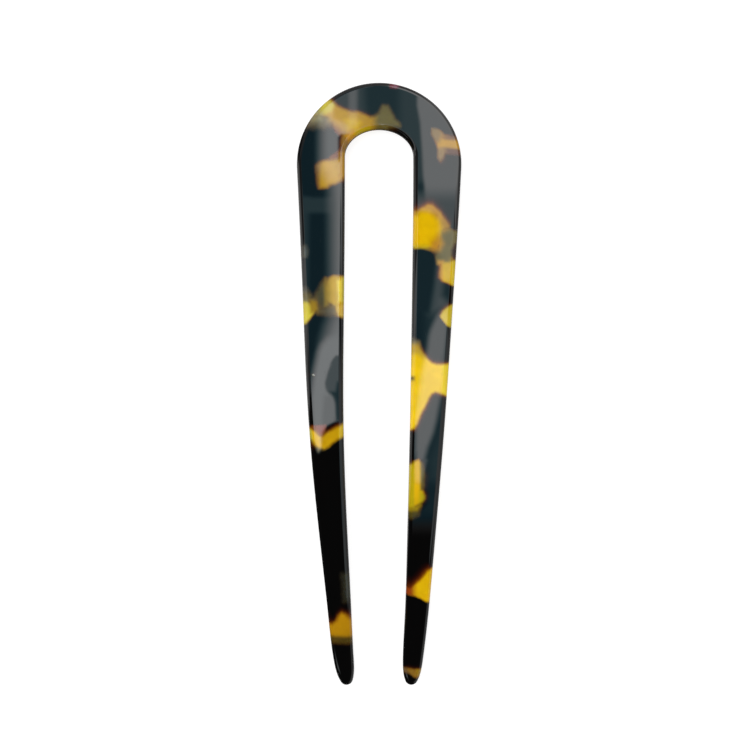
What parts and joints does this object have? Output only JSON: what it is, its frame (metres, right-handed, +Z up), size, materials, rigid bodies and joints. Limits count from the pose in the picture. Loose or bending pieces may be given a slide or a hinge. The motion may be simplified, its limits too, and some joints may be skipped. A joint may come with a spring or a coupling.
{
  "type": "french hair pin",
  "caption": "U-shaped hair pin with tapering legs, a round crown and a gentle bend, polished from mottled amber and black acetate, for holding a bun or twist of hair.",
  "frame": {"origin": "on the surface that the pin lies on, below the middle of its box", "axes": "+Y runs along the pin towards its round crown, +X across it to the right of the front view, and +Z up out of its bulging front face"},
  "size_m": [0.0346, 0.127, 0.0081],
  "materials": {
    "tortoiseshell_acetate": "polished"
  },
  "bodies": {
    "root": {"hair_pin": "tortoiseshell_acetate"}
  },
  "joints": []
}
